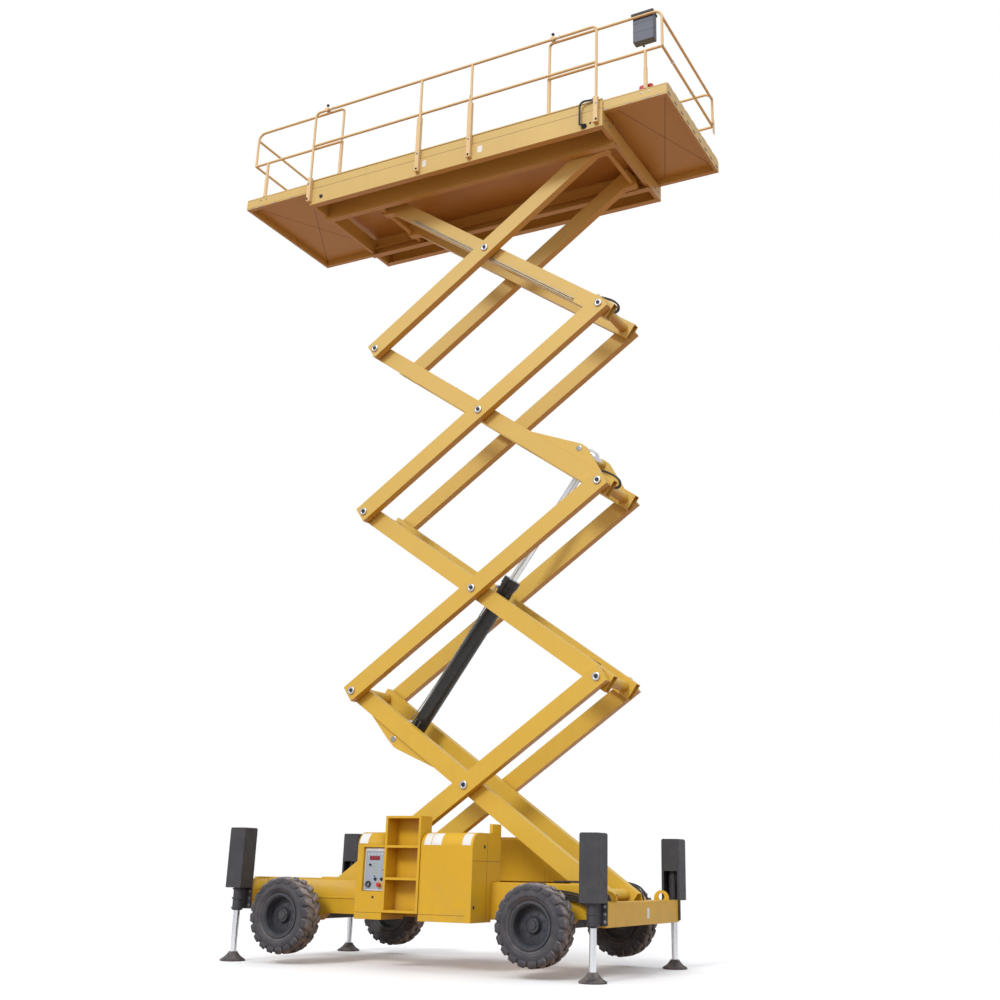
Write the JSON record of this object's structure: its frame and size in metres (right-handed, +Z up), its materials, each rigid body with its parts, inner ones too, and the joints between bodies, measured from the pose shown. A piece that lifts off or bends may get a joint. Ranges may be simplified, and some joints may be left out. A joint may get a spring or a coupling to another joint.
{
  "type": "rough-terrain scissor lift",
  "caption": "Self-propelled scissor lift on lugged wheels, standing on stabilisers, its long platform raised on crossed arms with both deck extensions out.",
  "frame": {"origin": "on the floor under the middle of the machine", "axes": "+X towards the steered wheels and hinged arm ends, +Y away from the ladder side, +Z up"},
  "size_m": [6.19, 2.446, 10.805],
  "materials": {
    "base_paint": "semi-gloss construction yellow, dusty low down",
    "arm_paint": "semi-gloss yellow, greasy near the pins",
    "upper_paint": "semi-gloss yellow",
    "rail_paint": "pale yellow paint on round tube",
    "deck": "raised-tread plate",
    "dark_metal": "black chassis paint",
    "charcoal_paint": "satin charcoal",
    "black_paint": "gloss black",
    "chrome_rod": "hard chrome with wiped oil",
    "rim_paint": "satin dark grey",
    "tyre": "dusty lugged rubber",
    "grey_plastic": "moulded grey",
    "hose_rubber": "black hose"
  },
  "bodies": {
    "chassis": {"chassis_frame": "base_paint", "rear_axle": "dark_metal", "steer_axle": "dark_metal", "control_housing": "base_paint", "power_housing": "base_paint", "far_housing": "base_paint", "ladder": "base_paint", "column_left_near": "charcoal_paint", "column_left_far": "charcoal_paint", "column_right_near": "charcoal_paint", "column_right_far": "charcoal_paint"},
    "leg_left_near": {"leg_left_near": "chrome_rod"},
    "leg_left_far": {"leg_left_far": "chrome_rod"},
    "leg_right_near": {"leg_right_near": "chrome_rod"},
    "leg_right_far": {"leg_right_far": "chrome_rod"},
    "knuckle_near": {"knuckle_near": "dark_metal"},
    "knuckle_far": {"knuckle_far": "dark_metal"},
    "wheel_left_near": {"tyre_left_near": "tyre", "rim_left_near": "rim_paint"},
    "wheel_left_far": {"tyre_left_far": "tyre", "rim_left_far": "rim_paint"},
    "wheel_right_near": {"tyre_right_near": "tyre", "rim_right_near": "rim_paint"},
    "wheel_right_far": {"tyre_right_far": "tyre", "rim_right_far": "rim_paint"},
    "inner_arms_1": {"inner_arms_1": "arm_paint"},
    "outer_arms_1": {"outer_arms_1": "arm_paint"},
    "inner_arms_2": {"inner_arms_2": "arm_paint"},
    "outer_arms_2": {"outer_arms_2": "arm_paint"},
    "inner_arms_3": {"inner_arms_3": "arm_paint"},
    "outer_arms_3": {"outer_arms_3": "arm_paint"},
    "inner_arms_4": {"inner_arms_4": "arm_paint"},
    "outer_arms_4": {"outer_arms_4": "arm_paint"},
    "cylinder_barrel": {"cylinder_barrel": "black_paint"},
    "cylinder_rod": {"cylinder_rod": "chrome_rod"},
    "platform": {"platform_frame": "upper_paint", "main_deck": "deck", "guardrail_near": "rail_paint", "guardrail_far": "rail_paint", "platform_hose": "hose_rubber"},
    "gate": {"gate_bar": "rail_paint"},
    "extension_left": {"extension_left": "upper_paint", "extension_rail_left": "rail_paint"},
    "extension_right": {"extension_right": "upper_paint", "extension_rail_right": "rail_paint", "platform_controls": "grey_plastic"}
  },
  "joints": [
    {"name": "stabiliser_left_near", "type": "slide", "parent": "chassis", "child": "leg_left_near", "axis": [0, 0, 1], "range_m": [0, 0.38]},
    {"name": "stabiliser_left_far", "type": "slide", "parent": "chassis", "child": "leg_left_far", "axis": [0, 0, 1], "range_m": [0, 0.38]},
    {"name": "stabiliser_right_near", "type": "slide", "parent": "chassis", "child": "leg_right_near", "axis": [0, 0, 1], "range_m": [0, 0.38]},
    {"name": "stabiliser_right_far", "type": "slide", "parent": "chassis", "child": "leg_right_far", "axis": [0, 0, 1], "range_m": [0, 0.38]},
    {"name": "steer_near", "type": "hinge", "parent": "chassis", "child": "knuckle_near", "pos_m": [1.661, -0.85, 0.481], "axis": [0, 0, 1], "range_deg": [-28, 28]},
    {"name": "steer_far", "type": "hinge", "parent": "chassis", "child": "knuckle_far", "pos_m": [1.661, 0.85, 0.481], "axis": [0, 0, 1], "range_deg": [-28, 28]},
    {"name": "wheel_spin_left_near", "type": "hinge", "parent": "chassis", "child": "wheel_left_near", "pos_m": [-1.343, -1.053, 0.481], "axis": [0, 1, 0], "continuous": true},
    {"name": "wheel_spin_left_far", "type": "hinge", "parent": "chassis", "child": "wheel_left_far", "pos_m": [-1.343, 1.053, 0.481], "axis": [0, 1, 0], "continuous": true},
    {"name": "wheel_spin_right_near", "type": "hinge", "parent": "knuckle_near", "child": "wheel_right_near", "pos_m": [1.661, -1.053, 0.481], "axis": [0, 1, 0], "continuous": true},
    {"name": "wheel_spin_right_far", "type": "hinge", "parent": "knuckle_far", "child": "wheel_right_far", "pos_m": [1.661, 1.053, 0.481], "axis": [0, 1, 0], "continuous": true},
    {"name": "scissor_raise", "type": "hinge", "parent": "chassis", "child": "inner_arms_1", "pos_m": [2.035, 0, 0.756], "axis": [0, 1, 0], "range_deg": [-29, 15]},
    {"name": "scissor_centre_1", "type": "hinge", "parent": "inner_arms_1", "child": "outer_arms_1", "pos_m": [0.46869, 0, 1.8438], "axis": [0, 1, 0], "range_deg": [-30.05, 58.05]},
    {"name": "scissor_left_1", "type": "hinge", "parent": "inner_arms_1", "child": "outer_arms_2", "pos_m": [-1.09762, 0, 2.93161], "axis": [0, 1, 0], "range_deg": [-30.05, 58.05]},
    {"name": "scissor_centre_2", "type": "hinge", "parent": "outer_arms_2", "child": "inner_arms_2", "pos_m": [0.46869, 0, 4.01941], "axis": [0, 1, 0], "range_deg": [-58.05, 30.05]},
    {"name": "scissor_right_2", "type": "hinge", "parent": "outer_arms_2", "child": "inner_arms_3", "pos_m": [2.035, 0, 5.10722], "axis": [0, 1, 0], "range_deg": [-58.05, 30.05]},
    {"name": "scissor_centre_3", "type": "hinge", "parent": "inner_arms_3", "child": "outer_arms_3", "pos_m": [0.46869, 0, 6.19502], "axis": [0, 1, 0], "range_deg": [-30.05, 58.05]},
    {"name": "scissor_left_3", "type": "hinge", "parent": "inner_arms_3", "child": "outer_arms_4", "pos_m": [-1.09762, 0, 7.28282], "axis": [0, 1, 0], "range_deg": [-30.05, 58.05]},
    {"name": "scissor_centre_4", "type": "hinge", "parent": "outer_arms_4", "child": "inner_arms_4", "pos_m": [0.46869, 0, 8.37063], "axis": [0, 1, 0], "range_deg": [-58.05, 30.05]},
    {"name": "platform_level", "type": "hinge", "parent": "outer_arms_4", "child": "platform", "pos_m": [2.10345, 0, 9.35987], "axis": [0, 1, 0], "range_deg": [-29.05, 15.05]},
    {"name": "cylinder_swing", "type": "hinge", "parent": "inner_arms_1", "child": "cylinder_barrel", "pos_m": [-0.57199, 0, 2.37541], "axis": [0, 1, 0], "range_deg": [-29.75, 57.47]},
    {"name": "cylinder_stroke", "type": "slide", "parent": "cylinder_barrel", "child": "cylinder_rod", "axis": [0.5859, 0, 0.8104], "range_m": [-1.2411, 0.6424]},
    {"name": "gate_lift", "type": "slide", "parent": "platform", "child": "gate", "axis": [0, 0, 1], "range_m": [0, 0.4]},
    {"name": "extend_left", "type": "slide", "parent": "platform", "child": "extension_left", "axis": [1, 0, 0], "range_m": [0, 1.052]},
    {"name": "extend_right", "type": "slide", "parent": "platform", "child": "extension_right", "axis": [-1, 0, 0], "range_m": [0, 0.759]}
  ],
  "couplings": [
    {"joint": "steer_far", "follows": "steer_near", "ratio": 1},
    {"joint": "scissor_centre_1", "follows": "scissor_raise", "ratio": -2},
    {"joint": "scissor_left_1", "follows": "scissor_raise", "ratio": -2},
    {"joint": "scissor_centre_2", "follows": "scissor_raise", "ratio": 2},
    {"joint": "scissor_right_2", "follows": "scissor_raise", "ratio": 2},
    {"joint": "scissor_centre_3", "follows": "scissor_raise", "ratio": -2},
    {"joint": "scissor_left_3", "follows": "scissor_raise", "ratio": -2},
    {"joint": "scissor_centre_4", "follows": "scissor_raise", "ratio": 2},
    {"joint": "platform_level", "follows": "scissor_raise", "ratio": 1},
    {"joint": "cylinder_swing", "follows": "scissor_raise", "ratio": -1.98},
    {"joint": "cylinder_stroke", "follows": "scissor_raise", "m_per_rad": 2.45}
  ]
}
